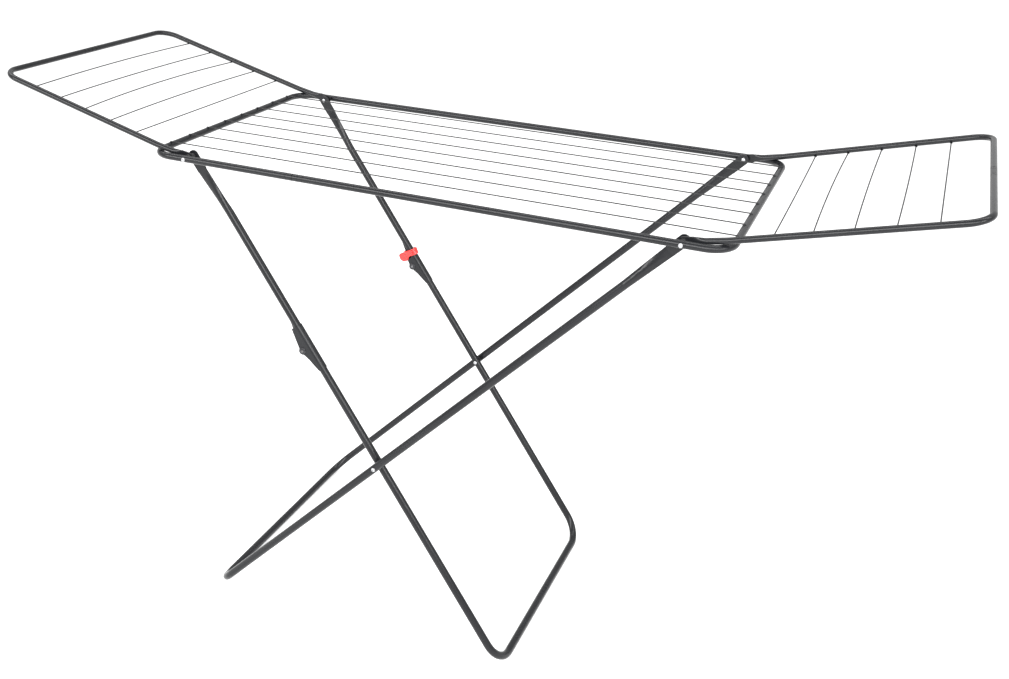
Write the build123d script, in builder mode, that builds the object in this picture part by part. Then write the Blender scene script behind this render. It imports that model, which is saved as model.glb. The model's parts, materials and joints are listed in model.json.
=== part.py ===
from build123d import *
from math import hypot, sqrt
import os

os.makedirs("parts", exist_ok=True)

# A folding winged clothes drying rack of bent steel tube and welded wire.
# Millimetres, +Z up, +X along the long wires, -Y is the front side.
# The origin is on the floor under the middle of the frame.

# Frame
frame_half_length = 538.0  # middle to the axis of an end bar
frame_half_width = 268.5  # middle to the axis of a rail
rail_height = 918.0  # floor to the axis of the rails
rail_radius = 6.5
rail_wall = 0.8
frame_bend = 42.0  # bend radius on the tube's axis
frame_joint_x = -234.0  # where the ends of the frame's tube meet
pivot_half_span = 462.0  # middle to the rivets in the rails

# Wires
wire_radius = 1.1
main_wire_count = 8
wing_wire_count = 5
wing_wire_start = 55.0  # end bar to the first wing wire, level
wing_wire_step = 58.0
wing_wire_inset = 4.0  # wire ends short of the arms' axes
# How far the middle of each wing wire is bent away from the frame, frame first
right_wire_bows = (1.0, -3.5, -2.0, 1.5, 0.0)
left_wire_bows = (0.0, 6.0, 11.0, 5.5, 7.0)

# Wings
wing_reach = 356.0  # end bar to the wing's own end bar, level
wing_rise = 108.0  # rail axis to the axis of the wing's end bar
wing_radius = 5.5
wing_wall = 0.7
wing_bend = 36.0
arm_kink_bend = 60.0  # where an arm turns up over the end bar
arm_kink_x = 6.0  # how far short of the end bar's axis it turns

# Legs
leg_radius = 7.5
leg_wall = 0.9
leg_bend = 46.0
outer_foot_x = -427.5  # the foot bar of the leg that starts at the right
inner_foot_x = 187.3  # the foot bar of the leg that starts at the left

# Pressed flat tube ends
flat_wall = 3.0  # the tube's two walls pressed together
flat_edge = 1.35  # rounding of the flat's long edges
leg_flat_radius = 10.0
leg_flat_length = 32.0
leg_flat_tip = 9.8  # half the flat's width where it turns round
leg_round_at = 125.0
wing_flat_radius = 8.4
wing_flat_length = 18.0
wing_flat_tip = 7.8
wing_round_at = 36.0

# Knee of the inner leg: the lower tube ends in a channel round the upper one
knee_offset = 13.5  # leg axis to the knee pin
folded_room = 3.6  # folded legs below the rails, beyond the knee's own offset
channel_wall = 1.1
channel_gap = 0.25
channel_top_front = 46.0  # channel above the pin
channel_top_back = 18.4  # ends under the lock ring
channel_bottom = 48.0
channel_ear = 5.2
ear_shoulder = 0.8  # where the cheeks' straight edges meet the ear, of its radius
channel_waist = 20.0  # pin to where the cheeks have narrowed
channel_waist_depth = 3.0  # cheeks beyond the tube there
closed_tube_below = 18.0  # pin to where the lower tube is closed
upper_ear = 5.0
ear_thickness = 8.0
ear_length = 58.0
knee_pin_radius = 3.0
knee_head_radius = 7.2
knee_head = 1.05

# Rivets, washers and spacers
rivet_radius = 2.5
rivet_head_radius = 3.8
rivet_head = 1.9
rivet_eye_radius = 1.4
rivet_eye_depth = 0.9
clinch_radius = 3.8
clinch = 1.7
head_rounding = 0.7  # of a rivet head's height
face_rounding = 0.6  # of a clinched or pin head's height
washer_radius = 6.0
spacer_radius = 5.0
side_gap = 0.3  # between faces that turn past each other
running_gap = 0.06  # round a pin that turns
contact_gap = 0.35  # wing arm above the frame's corner

# Lock ring
ring_height = 14.0
ring_above_pin = 28.8
ring_side_wall = 1.95
ring_end_wall = 2.5
ring_slack = 0.35
ring_room_right = 4.0
ring_room_left = 1.4
ring_tilt = 9.0
ring_edge = 0.78
tab_thickness = 3.0  # thumb tab on the ring's inner side
tab_edge = 1.1
tab_corner = 3.5
# Corners of the thumb tab from the ring's middle, as down the link and right of it
tab_corners = ((-6.5, 9), (3.5, 9), (7, -3), (14, -10), (13, -21), (6, -26), (-4, -25.5), (-6.5, -20))

# Tube joints
joint_gap = 1.0
sleeve_half_length = 30.0
sleeve_gap = 0.05
sleeve_wall = 0.8
crimp_width = 1.8
crimp_depth = 0.35
crimp_from_joint = (12.0, 22.0)

# Sideways places, as distances from the middle plane
rail_inside = frame_half_width - rail_radius
wing_y = rail_inside - side_gap - wing_radius
outer_leg_y = rail_inside - side_gap - leg_radius
crossing_gap = channel_gap + channel_wall + knee_head + side_gap
inner_leg_y = outer_leg_y - 2 * leg_radius - crossing_gap
wing_flat_y = wing_y - flat_wall / 2
outer_flat_y = outer_leg_y - leg_radius
inner_flat_y = inner_leg_y + leg_radius - flat_wall

# Places in the side view
foot_height = leg_radius
drop = rail_height - foot_height
outer_length = hypot(pivot_half_span - outer_foot_x, drop)
inner_length = hypot(pivot_half_span + inner_foot_x, drop)

# The two legs cross where their axes meet
outer_slope = (pivot_half_span - outer_foot_x) / drop
inner_slope = (pivot_half_span + inner_foot_x) / drop
crossing_drop = 2 * pivot_half_span / (outer_slope + inner_slope)
outer_crossing = crossing_drop * outer_length / drop
inner_crossing = crossing_drop * inner_length / drop

# Folded, the crossing hangs just under the rails and the knee lies flat
folded_drop = 2 * knee_offset + folded_room
folded_reach = 2 * pivot_half_span - sqrt(outer_crossing**2 - folded_drop**2)
folded_links = sqrt(folded_reach**2 + folded_drop**2 - (2 * knee_offset) ** 2)
knee_at = (inner_crossing + folded_links) / 2

# Left edge of the wedge beside the knee, from the tube out to the pin
wedge_depth = knee_offset + upper_ear
wedge_start = leg_radius - 1.0
wedge_slope = (wedge_depth - wedge_start) / ear_length

# An arm rises to clear the frame's rounded corner, then turns up
corner_step = wing_y - (frame_half_width - frame_bend)
corner_reach = sqrt(frame_bend**2 - corner_step**2)
rest_x = frame_half_length - frame_bend + corner_reach - pivot_half_span
rest_apart = rail_radius + wing_radius + contact_gap
rest_skew = rest_apart * frame_bend / (rest_x * corner_reach)
rest_rise = rest_apart / sqrt(1 - rest_skew**2)
kink_x = frame_half_length - arm_kink_x - pivot_half_span
kink_rise = kink_x * rest_rise / rest_x
wing_tip_x = frame_half_length + wing_reach - pivot_half_span
arm_slope = (wing_rise - kink_rise) / (wing_tip_x - kink_x)


def run_plane(start_x, along_x, along_z):
    # A tube's own plane: local X along the tube in side view, local Y sideways
    return Plane(
        origin=(start_x, 0, rail_height),
        x_dir=(along_x, 0, along_z),
        z_dir=(-along_z, 0, along_x),
    )


outer_run = run_plane(pivot_half_span, outer_foot_x - pivot_half_span, -drop)
inner_run = run_plane(-pivot_half_span, inner_foot_x + pivot_half_span, -drop)
arm_run = run_plane(pivot_half_span, kink_x, kink_rise)


def across(run, along, outward):
    # A plane square to a tube, at a distance along it and out from the middle
    origin = run.from_local_coords((along, -outward, 0))
    return Plane(origin=origin, x_dir=(0, 1, 0), z_dir=run.x_dir)


def beside(run, outward):
    # A side-view plane at a distance out from the middle, facing the front
    origin = run.from_local_coords((0, -outward, 0))
    return Plane(origin=origin, x_dir=run.x_dir, z_dir=(0, -1, 0))


def save(part, name):
    part.label = name
    export_step(part, f"parts/{name}.step")


def mirrored(source, plane):
    with BuildPart() as twin:
        mirror(source, about=plane)
    return twin.part


def sweep_tube(path, radius, wall):
    with BuildSketch(Plane(origin=path @ 0, z_dir=path % 0)) as section:
        Circle(radius)
        Circle(radius - wall, mode=Mode.SUBTRACT)
    sweep(section.sketch, path=path)


def pressed_end(run, flat_y, flat_radius, flat_tip, flat_length, round_at, tube_y, tube_radius):
    # A flat round-nosed tongue that swells into the round tube
    with BuildSketch(beside(run, flat_y)) as tongue:
        Circle(flat_radius)
        Polygon(
            (0, -flat_radius),
            (flat_length, -flat_tip),
            (flat_length, flat_tip),
            (0, flat_radius),
            align=None,
        )
    extrude(tongue.sketch, amount=flat_wall)
    with BuildSketch(across(run, flat_length, flat_y + flat_wall / 2)) as flat_section:
        RectangleRounded(flat_wall, 2 * flat_tip, flat_edge)
    with BuildSketch(across(run, round_at, tube_y)) as round_section:
        Circle(tube_radius)
    loft([flat_section.sketch, round_section.sketch])


def cross_hole(run, along, aside, radius, from_y, to_y):
    with BuildSketch(beside(run, from_y)) as hole:
        with Locations((along, aside)):
            Circle(radius)
    extrude(hole.sketch, amount=to_y - from_y, mode=Mode.SUBTRACT)


def crimp(plane, radius):
    # A shallow ring pressed into the tube that the plane's origin is on
    with BuildSketch(plane) as ring:
        Circle(radius + 1)
        Circle(radius - crimp_depth, mode=Mode.SUBTRACT)
    extrude(ring.sketch, amount=crimp_width / 2, both=True, mode=Mode.SUBTRACT)


def square_to_x(x, y, z):
    return Plane(origin=(x, y, z), x_dir=(0, 1, 0), z_dir=(1, 0, 0))


def square_to_y(x, y, z):
    return Plane(origin=(x, y, z), x_dir=(1, 0, 0), z_dir=(0, -1, 0))


# Main frame: one tube bent into a rounded rectangle, its ends meeting in a rail
def make_main_frame():
    length, width = frame_half_length, frame_half_width
    with BuildPart() as main_frame:
        with BuildLine(Plane.XY.offset(rail_height)) as loop:
            FilletPolyline(
                (frame_joint_x + joint_gap / 2, -width),
                (length, -width),
                (length, width),
                (-length, width),
                (-length, -width),
                (frame_joint_x - joint_gap / 2, -width),
                radius=frame_bend,
            )
        sweep_tube(loop.line, rail_radius, rail_wall)
        for step in crimp_from_joint:
            for side in (-1, 1):
                crimp(square_to_x(frame_joint_x + side * step, -width, rail_height), rail_radius)
        for pivot_x in (-pivot_half_span, pivot_half_span):
            for side in (-1, 1):
                with BuildSketch(Plane.XZ.offset(side * width - rail_radius - 1)):
                    with Locations((pivot_x, rail_height)):
                        Circle(rivet_radius)
                extrude(amount=2 * rail_radius + 2, mode=Mode.SUBTRACT)
    return main_frame.part


def make_sleeve(plane, tube_radius, tube_wall):
    # The short tube inside a joint, its middle at the plane's origin
    outside = tube_radius - tube_wall - crimp_depth - sleeve_gap
    with BuildPart() as sleeve:
        with BuildSketch(plane):
            Circle(outside)
            Circle(outside - sleeve_wall, mode=Mode.SUBTRACT)
        extrude(amount=sleeve_half_length, both=True)
    return sleeve.part


def make_wire(start, middle, end):
    bow = Vector(*middle) - (Vector(*start) + Vector(*end)) / 2
    with BuildPart() as wire:
        with BuildLine() as path:
            if bow.length < wire_radius / 10:
                Line(start, end)
            else:
                ThreePointArc(start, middle, end)
        with BuildSketch(Plane(origin=path.line @ 0, z_dir=path.line % 0)):
            Circle(wire_radius)
        sweep(path=path.line)
    return wire.part


def make_wing_tube():
    # The front half of the right wing: an arm and half of the end bar
    start = arm_run.from_local_coords((wing_round_at, 0, 0))
    kink = (pivot_half_span + kink_x, -wing_y, rail_height + kink_rise)
    corner = (pivot_half_span + wing_tip_x, -wing_y, rail_height + wing_rise)
    end = (corner[0], -joint_gap / 2, corner[2])
    with BuildPart() as wing_tube:
        with BuildLine() as path:
            FilletPolyline(
                (start.X, -wing_y, start.Z),
                kink,
                corner,
                end,
                radius=[arm_kink_bend, wing_bend],
            )
        sweep_tube(path.line, wing_radius, wing_wall)
        pressed_end(
            arm_run,
            wing_flat_y,
            wing_flat_radius,
            wing_flat_tip,
            wing_flat_length,
            wing_round_at,
            wing_y,
            wing_radius,
        )
        hole = rivet_radius + running_gap
        cross_hole(arm_run, 0, 0, hole, wing_flat_y - 1, wing_flat_y + flat_wall + 1)
        for step in crimp_from_joint:
            crimp(square_to_y(corner[0], -step, corner[2]), wing_radius)
    return wing_tube.part


def make_outer_leg_tube():
    # The front half of the outer leg, from the right-hand rivet to mid foot bar
    with BuildPart() as outer_leg_tube:
        with BuildLine(outer_run) as path:
            FilletPolyline(
                (leg_round_at, -outer_leg_y),
                (outer_length, -outer_leg_y),
                (outer_length, -joint_gap / 2),
                radius=leg_bend,
            )
        sweep_tube(path.line, leg_radius, leg_wall)
        pressed_end(
            outer_run,
            outer_flat_y,
            leg_flat_radius,
            leg_flat_tip,
            leg_flat_length,
            leg_round_at,
            outer_leg_y,
            leg_radius,
        )
        hole = rivet_radius + running_gap
        cross_hole(outer_run, 0, 0, hole, outer_flat_y - 1, outer_flat_y + flat_wall + 1)
        near, far = outer_leg_y - leg_radius - 1, outer_leg_y + leg_radius + 1
        cross_hole(outer_run, outer_crossing, 0, rivet_radius, near, far)
        for step in crimp_from_joint:
            crimp(square_to_y(outer_foot_x, -step, foot_height), leg_radius)
    return outer_leg_tube.part


def make_inner_leg_tube(channel_top):
    # The front half of the inner leg below the knee, with its channel end
    channel_in = leg_radius + channel_gap
    channel_out = channel_in + channel_wall
    channel_start = knee_at - channel_top
    channel_end = knee_at + channel_bottom
    shoulder_along = channel_ear * sqrt(1 - ear_shoulder**2)
    with BuildPart() as inner_leg_tube:
        with BuildLine(inner_run) as path:
            FilletPolyline(
                (knee_at + closed_tube_below, -inner_leg_y),
                (inner_length, -inner_leg_y),
                (inner_length, -joint_gap / 2),
                radius=leg_bend,
            )
        sweep_tube(path.line, leg_radius, leg_wall)
        # Half-round back of the channel
        with BuildSketch(across(inner_run, channel_start, inner_leg_y)):
            Circle(channel_out)
            Circle(channel_in, mode=Mode.SUBTRACT)
            with Locations((0, -channel_out)):
                Rectangle(2 * channel_out + 2, 2 * channel_out, mode=Mode.SUBTRACT)
        extrude(amount=channel_end - channel_start)
        # Saddle that joins the channel to the tube
        with BuildSketch(across(inner_run, knee_at + closed_tube_below, inner_leg_y)):
            Circle(channel_out)
            Circle(leg_radius - leg_wall / 2, mode=Mode.SUBTRACT)
            with Locations((0, -channel_out)):
                Rectangle(2 * channel_out, channel_out, mode=Mode.SUBTRACT)
        extrude(amount=channel_bottom - closed_tube_below)
        # Two cheeks with ears for the pin
        for cheek_y in (inner_leg_y - channel_out, inner_leg_y + channel_in):
            with BuildSketch(beside(inner_run, cheek_y)):
                Polygon(
                    (channel_start, 0),
                    (channel_start, wedge_slope * channel_top - wedge_depth),
                    (knee_at - shoulder_along, -knee_offset - channel_ear * ear_shoulder),
                    (knee_at + channel_ear * ear_shoulder, -knee_offset - shoulder_along),
                    (knee_at + channel_waist, -leg_radius - channel_waist_depth),
                    (channel_end, -leg_radius / 2),
                    (channel_end, 0),
                    align=None,
                )
                with Locations((knee_at, -knee_offset)):
                    Circle(channel_ear)
            extrude(amount=channel_wall)
        near, far = inner_leg_y - channel_out - 1, inner_leg_y + channel_out + 1
        cross_hole(inner_run, knee_at, -knee_offset, knee_pin_radius, near, far)
        cross_hole(inner_run, inner_crossing, 0, rivet_radius, near, far)
        for step in crimp_from_joint:
            crimp(square_to_y(inner_foot_x, -step, foot_height), leg_radius)
    return inner_leg_tube.part


def make_upper_link():
    # The front link from the left-hand rivet down to the knee pin
    with BuildPart() as upper_link:
        with BuildLine(inner_run) as path:
            Line((leg_round_at, -inner_leg_y), (knee_at, -inner_leg_y))
        sweep_tube(path.line, leg_radius, leg_wall)
        pressed_end(
            inner_run,
            inner_flat_y,
            leg_flat_radius,
            leg_flat_tip,
            leg_flat_length,
            leg_round_at,
            inner_leg_y,
            leg_radius,
        )
        # The wedge that carries the pin beside the tube
        with BuildSketch(beside(inner_run, inner_leg_y - ear_thickness / 2)):
            Polygon(
                (knee_at - ear_length, -wedge_start),
                (knee_at - ear_length, 1 - wedge_start),
                (knee_at, 1 - wedge_start),
                (knee_at, -wedge_depth),
                align=None,
            )
            with Locations((knee_at, -knee_offset)):
                Circle(upper_ear)
        extrude(amount=ear_thickness)
        hole = rivet_radius + running_gap
        cross_hole(inner_run, 0, 0, hole, inner_flat_y - 1, inner_flat_y + flat_wall + 1)
        near, far = inner_leg_y - leg_radius - 1, inner_leg_y + leg_radius + 1
        cross_hole(inner_run, knee_at, -knee_offset, knee_pin_radius + running_gap, near, far)
    return upper_link.part


def make_rail_rivet(run, flat_y):
    # Through the rail, a wing's arm and a leg; its outer head hugs the rail
    rail_face = frame_half_width + rail_radius
    shank_end = rail_face - rail_radius / 2
    with BuildPart() as rail_rivet:
        with BuildSketch(beside(run, shank_end)):
            Circle(rivet_head_radius)
        extrude(amount=rail_face + rivet_head - shank_end)
        rim = rail_rivet.edges().filter_by(GeomType.CIRCLE).sort_by(Axis.Y)[0]
        fillet(rim, rivet_head * head_rounding)
        with BuildSketch(beside(run, rail_face + rivet_head)):
            Circle(rivet_eye_radius)
        extrude(amount=-rivet_eye_depth, mode=Mode.SUBTRACT)
        with BuildSketch(Plane.YZ.offset(run.origin.X)):
            with Locations((-frame_half_width, rail_height)):
                Circle(rail_radius)
        extrude(amount=2 * rivet_head_radius, both=True, mode=Mode.SUBTRACT)
        with BuildSketch(beside(run, flat_y - side_gap)):
            Circle(rivet_radius)
        extrude(amount=rail_face - flat_y + side_gap)
        with BuildSketch(beside(run, flat_y - side_gap)):
            Circle(clinch_radius)
        extrude(amount=-clinch)
        rim = rail_rivet.edges().filter_by(GeomType.CIRCLE).sort_by(Axis.Y)[-1]
        fillet(rim, clinch * face_rounding)
    return rail_rivet.part


def make_half_rivet(run, along, start_y, head_y, outward):
    # Half of the rivet where the legs cross: a shank and one round head
    with BuildPart() as half_rivet:
        with BuildSketch(beside(run, start_y)):
            with Locations((along, 0)):
                Circle(rivet_radius)
        extrude(amount=head_y - start_y)
        with BuildSketch(beside(run, head_y)):
            with Locations((along, 0)):
                Circle(rivet_head_radius)
        extrude(amount=outward * rivet_head)
        rims = half_rivet.edges().filter_by(GeomType.CIRCLE).sort_by(Axis.Y)
        fillet(rims[0 if outward > 0 else -1], rivet_head * head_rounding)
        with BuildSketch(beside(run, head_y + outward * rivet_head)):
            with Locations((along, 0)):
                Circle(rivet_eye_radius)
        extrude(amount=-outward * rivet_eye_depth, mode=Mode.SUBTRACT)
    return half_rivet.part


def make_knee_pin():
    channel_face = leg_radius + channel_gap + channel_wall
    with BuildPart() as knee_pin:
        with BuildSketch(beside(inner_run, inner_leg_y - channel_face)):
            with Locations((knee_at, -knee_offset)):
                Circle(knee_pin_radius)
        extrude(amount=2 * channel_face)
        for side in (-1, 1):
            with BuildSketch(beside(inner_run, inner_leg_y + side * channel_face)):
                with Locations((knee_at, -knee_offset)):
                    Circle(knee_head_radius)
            extrude(amount=side * knee_head)
        rims = knee_pin.edges().filter_by(GeomType.CIRCLE).sort_by(Axis.Y)
        fillet([rims[0], rims[-1]], knee_head * face_rounding)
    return knee_pin.part


def make_ring_washer(run, along, radius, bore, from_y, to_y):
    with BuildPart() as washer:
        with BuildSketch(beside(run, from_y)):
            with Locations((along, 0)):
                Circle(radius)
                Circle(bore, mode=Mode.SUBTRACT)
        extrude(amount=to_y - from_y)
    return washer.part


def make_lock_ring():
    # An oval plastic collar round the back upper link, just above the knee
    low_edge = ring_above_pin - ring_height / 2
    inner_left = wedge_depth - wedge_slope * low_edge + ring_room_left
    inner_right = leg_radius + ring_room_right
    inner_long = inner_left + inner_right
    inner_wide = 2 * (leg_radius + ring_slack)
    centre = inner_run.from_local_coords(
        (knee_at - ring_above_pin, inner_leg_y, (inner_left - inner_right) / -2)
    )
    tilted_along = inner_run.x_dir.rotate(Axis.Y, ring_tilt)
    tilted = Plane(origin=centre, x_dir=(0, 1, 0), z_dir=tilted_along)
    with BuildPart() as lock_ring:
        with BuildSketch(tilted.offset(-ring_height / 2)):
            SlotOverall(
                inner_long + 2 * ring_end_wall,
                inner_wide + 2 * ring_side_wall,
                rotation=90,
            )
            SlotOverall(inner_long, inner_wide, rotation=90, mode=Mode.SUBTRACT)
        extrude(amount=ring_height)
        ends = lock_ring.faces().filter_by(lambda face: len(face.inner_wires()) == 1)
        fillet(ends.edges(), ring_edge)
        # Thumb tab
        tab_face = Plane(
            origin=centre - Vector(0, inner_wide / 2 + ring_side_wall, 0),
            x_dir=tilted_along,
            z_dir=(0, -1, 0),
        )
        with BuildSketch(tab_face.offset(-ring_slack)) as tab:
            Polygon(*tab_corners, align=None)
            fillet(tab.vertices(), tab_corner)
        extrude(amount=tab_thickness + ring_slack)
        rim = lock_ring.faces().sort_by(Axis.Y)[0].edges()
        fillet(rim, tab_edge)
    return lock_ring.part


# Build and write every piece
main_frame = make_main_frame()
save(main_frame, "main_frame")
frame_joint = square_to_x(frame_joint_x, -frame_half_width, rail_height)
save(make_sleeve(frame_joint, rail_radius, rail_wall), "main_frame_joint_sleeve")

wire_pitch = 2 * frame_half_width / (main_wire_count + 1)
wire_height = rail_height + rail_radius + wire_radius
for index in range(main_wire_count):
    wire_y = -frame_half_width + (index + 1) * wire_pitch
    places = [(x, wire_y, wire_height) for x in (-frame_half_length, 0, frame_half_length)]
    save(make_wire(*places), f"main_wire_{index + 1}")

wing_front = make_wing_tube()
wing_back = mirrored(wing_front, Plane.XZ)
wing_joint = square_to_y(pivot_half_span + wing_tip_x, 0, rail_height + wing_rise)
wing_sleeve = make_sleeve(wing_joint, wing_radius, wing_wall)
for side, flip in (("right", False), ("left", True)):
    for part, name in ((wing_front, "front_tube"), (wing_back, "back_tube"), (wing_sleeve, "joint_sleeve")):
        save(mirrored(part, Plane.YZ) if flip else part, f"wing_{side}_{name}")

arm_length = hypot(1, arm_slope)
wire_drop = wire_radius + sqrt(wing_radius**2 - wing_wire_inset**2)
wire_end = wing_y - wing_wire_inset
for index in range(wing_wire_count):
    level = frame_half_length + wing_wire_start + index * wing_wire_step
    rise = kink_rise + (level - pivot_half_span - kink_x) * arm_slope
    wire_x = level + wire_drop * arm_slope / arm_length
    wire_z = rail_height + rise - wire_drop / arm_length
    for side, sign, bows in (("right", 1, right_wire_bows), ("left", -1, left_wire_bows)):
        bow = bows[index % len(bows)] / arm_length
        middle = (sign * (wire_x + bow), 0, wire_z + bow * arm_slope)
        start, end = [(sign * wire_x, y, wire_z) for y in (-wire_end, wire_end)]
        save(make_wire(start, middle, end), f"wing_{side}_wire_{index + 1}")

outer_front = make_outer_leg_tube()
save(outer_front, "outer_leg_front_tube")
save(mirrored(outer_front, Plane.XZ), "outer_leg_back_tube")
outer_joint = square_to_y(outer_foot_x, 0, foot_height)
save(make_sleeve(outer_joint, leg_radius, leg_wall), "outer_leg_joint_sleeve")

save(make_inner_leg_tube(channel_top_front), "inner_leg_front_tube")
save(mirrored(make_inner_leg_tube(channel_top_back), Plane.XZ), "inner_leg_back_tube")
inner_joint = square_to_y(inner_foot_x, 0, foot_height)
save(make_sleeve(inner_joint, leg_radius, leg_wall), "inner_leg_joint_sleeve")

upper_front = make_upper_link()
save(upper_front, "upper_link_front")
save(mirrored(upper_front, Plane.XZ), "upper_link_back")
save(make_lock_ring(), "lock_ring")

# Rivets, washers and spacers, made at the front right or front left
outer_rivet = make_rail_rivet(outer_run, outer_flat_y)
inner_rivet = make_rail_rivet(inner_run, inner_flat_y)
bore = rivet_radius
washer_face = wing_flat_y + flat_wall + side_gap
outer_spacer = (outer_flat_y + flat_wall + side_gap, wing_flat_y - side_gap)
inner_spacer = (inner_flat_y + flat_wall + side_gap, wing_flat_y - side_gap)
for name, run, rivet, spacer in (
    ("right", outer_run, outer_rivet, outer_spacer),
    ("left", inner_run, inner_rivet, inner_spacer),
):
    washer = make_ring_washer(run, 0, washer_radius, bore, washer_face, rail_inside)
    sleeve = make_ring_washer(run, 0, spacer_radius, bore, *spacer)
    for part, kind in ((rivet, "rivet"), (washer, "washer"), (sleeve, "spacer")):
        save(Compound(children=[part, mirrored(part, Plane.XZ)]), f"pivot_{kind}s_{name}")

# The rivet where the legs cross, in two halves with a gap between them
washer_in, washer_out = outer_leg_y - leg_radius - crossing_gap + side_gap, outer_leg_y - leg_radius
outer_half = make_half_rivet(outer_run, outer_crossing, washer_in, outer_leg_y + leg_radius, 1)
inner_half = make_half_rivet(
    inner_run, inner_crossing, inner_leg_y + leg_radius, inner_leg_y - leg_radius, -1
)
crossing_washer = make_ring_washer(
    outer_run, outer_crossing, washer_radius, rivet_radius, washer_in, washer_out
)
for part, name in (
    (outer_half, "crossing_rivets_outer"),
    (inner_half, "crossing_rivets_inner"),
    (crossing_washer, "crossing_washers"),
    (make_knee_pin(), "knee_pins"),
):
    save(Compound(children=[part, mirrored(part, Plane.XZ)]), name)
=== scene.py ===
import json
import math

import bmesh
import bpy
from mathutils import Matrix, Vector


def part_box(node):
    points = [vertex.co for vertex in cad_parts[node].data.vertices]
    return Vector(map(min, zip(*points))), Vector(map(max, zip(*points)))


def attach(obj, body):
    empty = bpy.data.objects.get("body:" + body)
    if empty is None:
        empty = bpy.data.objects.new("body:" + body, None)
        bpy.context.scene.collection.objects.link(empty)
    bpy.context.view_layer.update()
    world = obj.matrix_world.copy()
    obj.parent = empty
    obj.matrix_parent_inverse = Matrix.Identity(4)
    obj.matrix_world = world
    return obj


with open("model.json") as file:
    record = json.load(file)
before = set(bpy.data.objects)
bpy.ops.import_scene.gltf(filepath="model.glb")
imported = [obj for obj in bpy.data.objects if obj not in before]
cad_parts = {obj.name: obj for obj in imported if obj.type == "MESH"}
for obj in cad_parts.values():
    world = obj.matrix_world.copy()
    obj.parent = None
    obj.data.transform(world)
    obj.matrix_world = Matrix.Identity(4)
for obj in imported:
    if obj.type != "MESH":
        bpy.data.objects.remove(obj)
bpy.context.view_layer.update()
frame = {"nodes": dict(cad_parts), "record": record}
nodes = frame["nodes"]
print("frame loaded,", len(nodes), "nodes")


class Value:
    # an output socket that takes part in sums
    def __init__(self, look, socket):
        self.look = look
        self.socket = socket

    def sum(self, operation, first, second):
        return self.look.node("ShaderNodeMath", {"operation": operation}, {0: first, 1: second})

    def __add__(self, other):
        return self.sum("ADD", self, other)

    __radd__ = __add__

    def __sub__(self, other):
        return self.sum("SUBTRACT", self, other)

    def __rsub__(self, other):
        return self.sum("SUBTRACT", other, self)

    def __mul__(self, other):
        return self.sum("MULTIPLY", self, other)

    __rmul__ = __mul__


class Look:
    # a material whose fixed values sit on the shader and whose varying ones are fed in
    def __init__(self, name, **fixed):
        self.material = bpy.data.materials.new(name)
        self.material.use_nodes = True
        self.tree = self.material.node_tree
        self.shader = self.tree.nodes["Principled BSDF"]
        for socket, value in fixed.items():
            self.shader.inputs[socket.replace("_", " ")].default_value = value
        self.place = self.node("ShaderNodeTexCoord", {}, {}, "Object")

    def node(self, kind, settings, inputs, output=0):
        made = self.tree.nodes.new(kind)
        for name, value in settings.items():
            if name == "stops":
                while len(made.color_ramp.elements) < len(value):
                    made.color_ramp.elements.new(1)
                for element, (position, shade) in zip(made.color_ramp.elements, value):
                    element.position = position
                    element.color = (*shade, 1) if isinstance(shade, tuple) else (shade, shade, shade, 1)
            else:
                setattr(made, name, value)
        for socket, value in inputs.items():
            if isinstance(value, Value):
                self.tree.links.new(value.socket, made.inputs[socket])
            else:
                made.inputs[socket].default_value = value
        return Value(self, made.outputs[output])

    def noise(self, scale, detail=3.0, stretch=(1, 1, 1)):
        spot = self.node("ShaderNodeMapping", {}, {"Vector": self.place, "Scale": stretch})
        return self.node("ShaderNodeTexNoise", {}, {"Vector": spot, "Scale": scale, "Detail": detail})

    def ramp(self, factor, *stops):
        return self.node("ShaderNodeValToRGB", {"stops": stops}, {"Fac": factor})

    def blend(self, factor, first, second):
        shades = [shade if isinstance(shade, Value) else (*shade, 1) for shade in (first, second)]
        inputs = {0: factor, 6: shades[0], 7: shades[1]}
        return self.node("ShaderNodeMix", {"data_type": "RGBA"}, inputs, 2)

    def feed(self, socket, value):
        self.tree.links.new(value.socket, self.shader.inputs[socket])

    def bump(self, height, distance, strength):
        settings = {"Height": height, "Distance": distance, "Strength": strength}
        self.feed("Normal", self.node("ShaderNodeBump", {}, settings))


def makePowderCoat(name, deep, pale, shine):
    # baked powder paint: orange peel, tiny pits darkened with painted shade, and a dulled film in broad
    # patches
    look = Look(name, Metallic=0.0, Specular_IOR_Level=0.27, Coat_Weight=0.0)
    patches = look.ramp(look.noise(9, 4), (0.35, 0.0), (0.7, 1.0))
    peel = look.noise(650, 2)
    pitsWithPaintedShade = look.ramp(look.noise(1500, 1), (0.27, 1.0), (0.34, 0.0))
    grain = look.noise(260, 4)
    body = look.blend(patches, deep, pale)
    speckled = look.blend(grain * 0.35, body, tuple(c * 1.9 for c in pale))
    # painted shade: the base colour in the tiny pits is darkened towards deep * 0.4
    look.feed("Base Color", look.blend(pitsWithPaintedShade * 0.6, speckled, tuple(c * 0.4 for c in deep)))
    look.feed("Roughness", shine + patches * 0.05 + peel * 0.07 + pitsWithPaintedShade * 0.15)
    look.bump(peel * 0.7 - pitsWithPaintedShade * 0.5 + grain * 0.2, 0.00012, 0.35)
    return look.material


def makeWireCoat():
    # thin drawn wire dipped in paint: fine lines and small runs
    look = Look("wireCoat", Metallic=0.0, Specular_IOR_Level=0.3)
    runs = look.ramp(look.noise(60, 3), (0.4, 0.0), (0.65, 1.0))
    fine = look.noise(900, 2)
    look.feed("Base Color", look.blend(runs, (0.006, 0.0063, 0.007), (0.012, 0.0125, 0.0135)))
    look.feed("Roughness", 0.36 + runs * 0.1 + fine * 0.12)
    look.bump(fine, 0.00008, 0.3)
    return look.material


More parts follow.
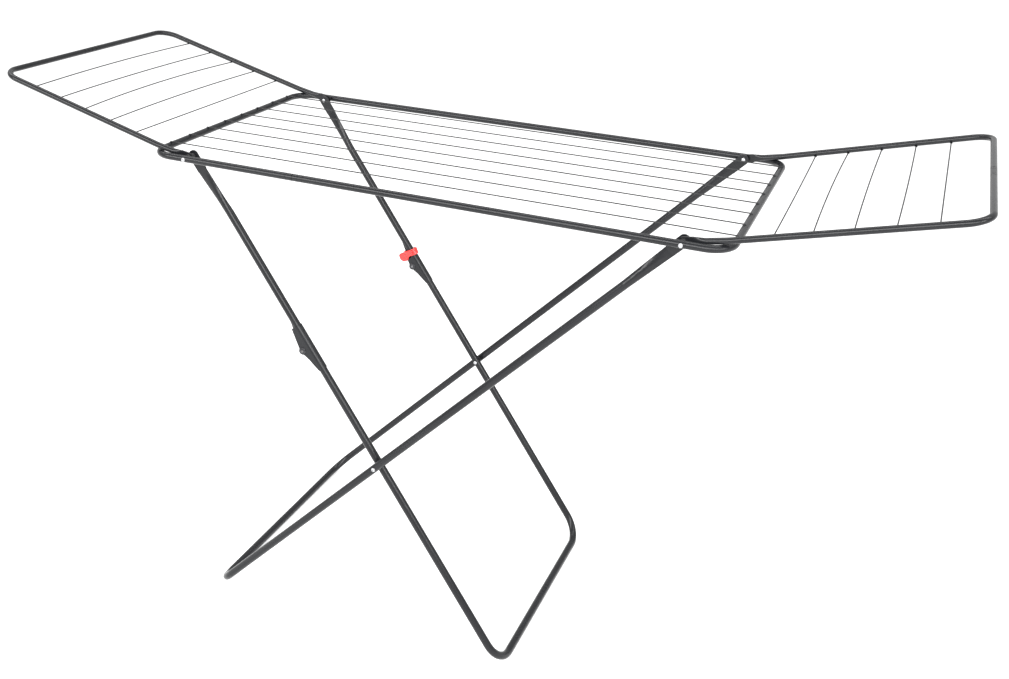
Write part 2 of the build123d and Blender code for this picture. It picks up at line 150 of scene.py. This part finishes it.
def makeZinc():
    # bright zinc plate, peened at the head
    look = Look("brightZinc", Metallic=1.0)
    clouds = look.ramp(look.noise(420, 4), (0.3, 0.0), (0.7, 1.0))
    dents = look.node("ShaderNodeTexVoronoi", {}, {"Vector": look.place, "Scale": 900})
    scratches = look.noise(700, 3, (1, 1, 9))
    look.feed("Base Color", look.blend(clouds, (0.3, 0.31, 0.33), (0.62, 0.62, 0.62)))
    look.feed("Roughness", 0.2 + clouds * 0.12 + scratches * 0.14)
    look.bump(dents * 0.6 + scratches * 0.4, 0.00015, 0.3)
    return look.material


def makeBareSteel():
    # the unpainted inner tube of a joint, with drawing lines along it
    look = Look("bareSteel", Metallic=1.0)
    lines = look.noise(500, 3, (1, 0.04, 1))
    oil = look.ramp(look.noise(45, 3), (0.4, 0.0), (0.7, 1.0))
    look.feed("Base Color", look.blend(oil, (0.2, 0.2, 0.205), (0.12, 0.11, 0.1)))
    look.feed("Roughness", 0.32 + lines * 0.2 + oil * 0.1)
    look.bump(lines, 0.00005, 0.3)
    return look.material


def makeDarkSteel():
    # blackened pin with the steel showing where it has rubbed
    look = Look("darkSteel", Metallic=0.85)
    rub = look.ramp(look.noise(380, 4), (0.5, 0.0), (0.72, 1.0))
    fine = look.noise(1200, 2)
    look.feed("Base Color", look.blend(rub, (0.035, 0.035, 0.038), (0.12, 0.12, 0.125)))
    look.feed("Roughness", 0.34 + fine * 0.14 - rub * 0.08)
    look.bump(fine, 0.00006, 0.3)
    return look.material


def makeBlackPlastic():
    # moulded nylon with a spark-eroded grain
    look = Look("blackPlastic", Metallic=0.0, Specular_IOR_Level=0.45)
    grain = look.node("ShaderNodeTexVoronoi", {}, {"Vector": look.place, "Scale": 1400})
    cloud = look.ramp(look.noise(150, 3), (0.35, 0.0), (0.7, 1.0))
    look.feed("Base Color", look.blend(cloud, (0.012, 0.012, 0.013), (0.024, 0.024, 0.025)))
    look.feed("Roughness", 0.46 + grain * 0.18)
    look.bump(grain, 0.00008, 0.4)
    return look.material


def makeRedPlastic():
    # glossy injection moulding: flow streaks, faint sink marks and handling scuffs
    look = Look(
        "redPlastic", Metallic=0.0, Specular_IOR_Level=0.5, Coat_Weight=0.35, Coat_Roughness=0.12
    )
    flow = look.ramp(look.noise(70, 4, (1, 1, 3)), (0.3, 0.0), (0.75, 1.0))
    scuffs = look.ramp(look.noise(900, 3, (1, 1, 6)), (0.58, 0.0), (0.7, 1.0))
    sink = look.noise(120, 2)
    body = look.blend(flow, (0.5, 0.011, 0.01), (0.66, 0.02, 0.015))
    look.feed("Base Color", look.blend(scuffs * 0.3, body, (0.74, 0.1, 0.08)))
    look.feed("Roughness", 0.24 + scuffs * 0.2 + sink * 0.08)
    look.bump(sink * 0.8 + scuffs * 0.1, 0.0002, 0.25)
    return look.material


finishes = {
    "dark_coat": makePowderCoat("powderCoat", (0.0045, 0.0048, 0.0058), (0.008, 0.0085, 0.0098), 0.2),
    "wire_coat": makeWireCoat(),
    "zinc": makeZinc(),
    "bare_steel": makeBareSteel(),
    "dark_steel": makeDarkSteel(),
    "black_plastic": makeBlackPlastic(),
    "red_plastic": makeRedPlastic(),
}
for part in frame["record"]["subparts"]:
    for place in nodes[part["node"]].material_slots:
        place.material = finishes[part["material_slot"]]


def deselect():
    bpy.ops.object.select_all(action="DESELECT")


smoothBelow = 50


def finishPiece(name, parts, body, slotName):
    # joins the parts into one mesh at the origin and hangs it on a body
    deselect()
    for part in parts:
        part.select_set(True)
    bpy.context.view_layer.objects.active = parts[0]
    if len(parts) > 1:
        bpy.ops.object.join()
    bpy.ops.object.transform_apply(location=True, rotation=True, scale=True)
    bpy.ops.object.shade_smooth_by_angle(angle=math.radians(smoothBelow))
    piece = bpy.context.object
    piece.name = name
    piece.data.materials.clear()
    piece.data.materials.append(finishes[slotName])
    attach(piece, body)
    return piece


def copyTo(model, spots, turn=None):
    # one copy with its own mesh at each spot
    copies = []
    for spot in spots:
        copy = bpy.data.objects.new(model.name, model.data.copy())
        bpy.context.collection.objects.link(copy)
        place = Matrix.Translation(spot)
        copy.data.transform(place @ turn if turn else place)
        copies.append(copy)
    return copies


weldBead = {
    "length": 0.0034,
    "width": 0.0027,
    "height": 0.0012,
    "uneven": 0.00012,
    "segments": 14,
    "rings": 8,
    "inFromEnd": 0.0012,
    "aboveBar": 0.0002,
}
wireCounts = {"main": 8, "wing": 5}


def makeWeldBead():
    # a flattened bead, pulled out along the wire and left a little lumpy
    deselect()
    bpy.ops.mesh.primitive_uv_sphere_add(
        segments=weldBead["segments"], ring_count=weldBead["rings"], radius=1
    )
    bead = bpy.context.object
    bpy.ops.object.mode_set(mode="EDIT")
    bpy.ops.mesh.select_all(action="SELECT")
    bpy.ops.transform.resize(value=(weldBead["length"], weldBead["width"], weldBead["height"]))
    bpy.ops.transform.vertex_random(offset=weldBead["uneven"], seed=3)
    bpy.ops.object.mode_set(mode="OBJECT")
    return bead


endFaceDepth = 0.0003


def endsOf(wire):
    # the middle of a wing wire's two end faces
    points = [v.co for v in wire.data.vertices]
    spots = []
    for edge in (min(p.y for p in points), max(p.y for p in points)):
        rim = [p for p in points if abs(p.y - edge) < endFaceDepth]
        spots.append(sum(rim, Vector()) / len(rim))
    return spots


bead = makeWeldBead()
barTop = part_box("main_frame")[1].z
mainSpots = []
for index in range(1, wireCounts["main"] + 1):
    low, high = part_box(f"main_wire_{index}")
    for end, inward in ((low.x, 1), (high.x, -1)):
        along = end + inward * weldBead["inFromEnd"]
        mainSpots.append(Vector((along, (low.y + high.y) / 2, barTop + weldBead["aboveBar"])))
finishPiece("mainWireWelds", copyTo(bead, mainSpots), "frame", "dark_coat")

alongWire = Matrix.Rotation(math.radians(90), 4, "Z")
for side in ("left", "right"):
    wingSpots = []
    for index in range(1, wireCounts["wing"] + 1):
        wingSpots += endsOf(nodes[f"wing_{side}_wire_{index}"])
    beads = copyTo(bead, wingSpots, alongWire)
    finishPiece(f"wing{side.title()}Welds", beads, f"wing_{side}", "dark_coat")
bpy.data.objects.remove(bead)

# kept under the 0.3 mm gap to the outer legs when folded
pinEnd = {"radius": 0.0021, "rise": 0.00006, "crown": 0.00009, "sides": 28, "steps": 3}


def makePinEnd():
    # the peened end that shows in the middle of a pin's head, facing -Y
    deselect()
    bpy.ops.mesh.primitive_cylinder_add(
        vertices=pinEnd["sides"], radius=pinEnd["radius"], depth=2 * pinEnd["rise"]
    )
    end = bpy.context.object
    bpy.ops.object.mode_set(mode="EDIT")
    bpy.ops.mesh.select_all(action="DESELECT")
    bm = bmesh.from_edit_mesh(end.data)
    for face in bm.faces:
        face.select = face.normal.z > 0.9
    bmesh.update_edit_mesh(end.data)
    for step in range(pinEnd["steps"]):
        bpy.ops.mesh.inset(thickness=pinEnd["radius"] / (pinEnd["steps"] + 1))
        bpy.ops.transform.translate(value=(0, 0, pinEnd["crown"] / (2 + step)))
    bpy.ops.mesh.select_all(action="SELECT")
    bpy.ops.transform.rotate(value=math.radians(-90), orient_axis="X", center_override=(0, 0, 0))
    bpy.ops.object.mode_set(mode="OBJECT")
    return end


end = makePinEnd()
low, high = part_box("knee_pins")
linkLow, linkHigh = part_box("upper_link_back")
pinX, pinZ = (low.x + high.x) / 2, (low.z + high.z) / 2
innerFace = linkLow.y + linkHigh.y - high.y
turned = Matrix.Rotation(math.pi, 4, "Z")
frontFacing = [Vector((pinX, y, pinZ)) for y in (low.y, innerFace)]
backFacing = [Vector((pinX, -y, pinZ)) for y in (low.y, innerFace)]
ends = copyTo(end, frontFacing) + copyTo(end, backFacing, turned)
finishPiece("kneePinEnds", ends, "inner_leg", "bare_steel")
bpy.data.objects.remove(end)
print("welds and pin ends made")

cameraView = {
    "place": (0.8111, -1.9915, 1.5656),
    "turn": (72.777, -1.997, 22.918),
    "lens": 42.34,
    "sensor": 36,
    "shift": (0.0332, -0.1708),
}
camera = bpy.data.objects.new("camera", bpy.data.cameras.new("camera"))
bpy.context.collection.objects.link(camera)
camera.location = cameraView["place"]
camera.rotation_euler = [math.radians(angle) for angle in cameraView["turn"]]
camera.data.lens = cameraView["lens"]
camera.data.sensor_width = cameraView["sensor"]
camera.data.shift_x, camera.data.shift_y = cameraView["shift"]
bpy.context.scene.camera = camera

studio = {
    "sky": 1.0,
    "lamps": [
        # name, place, power, width, depth
        ("frontStrip", (0, -3.6, 2.5), 430, 9, 1.5),
        ("topStrip", (0, 0.5, 3.6), 120, 9, 0.6),
        ("sideBox", (3.6, -1.6, 2.0), 40, 0.8, 0.8),
    ],
    "aim": (0, 0, 0.6),
    "floorSize": 60,
}
world = bpy.data.worlds.new("studio")
world.use_nodes = True
world.node_tree.nodes["Background"].inputs["Color"].default_value = (1, 1, 1, 1)
world.node_tree.nodes["Background"].inputs["Strength"].default_value = studio["sky"]
bpy.context.scene.world = world
for name, spot, power, width, depth in studio["lamps"]:
    lamp = bpy.data.objects.new(name, bpy.data.lights.new(name, "AREA"))
    bpy.context.collection.objects.link(lamp)
    lamp.data.energy = power
    lamp.data.shape = "RECTANGLE"
    lamp.data.size, lamp.data.size_y = width, depth
    lamp.location = spot
    lamp.rotation_euler = (Vector(studio["aim"]) - Vector(spot)).to_track_quat("-Z", "Y").to_euler()

deselect()
bpy.ops.mesh.primitive_plane_add(size=studio["floorSize"])
floor = bpy.context.object
floor.name = "floor"
floorLook = Look(
    "paleFloor",
    Roughness=0.9,
    Specular_IOR_Level=0.1,
    Emission_Color=(1, 1, 1, 1),
    Emission_Strength=0.28,
)
floorClouds = floorLook.noise(0.8, 2)
floorLook.feed("Base Color", floorLook.blend(floorClouds, (0.7, 0.7, 0.7), (0.74, 0.74, 0.74)))
floor.data.materials.append(floorLook.material)
bpy.context.scene.view_settings.view_transform = "Standard"
print("camera, light and floor set")
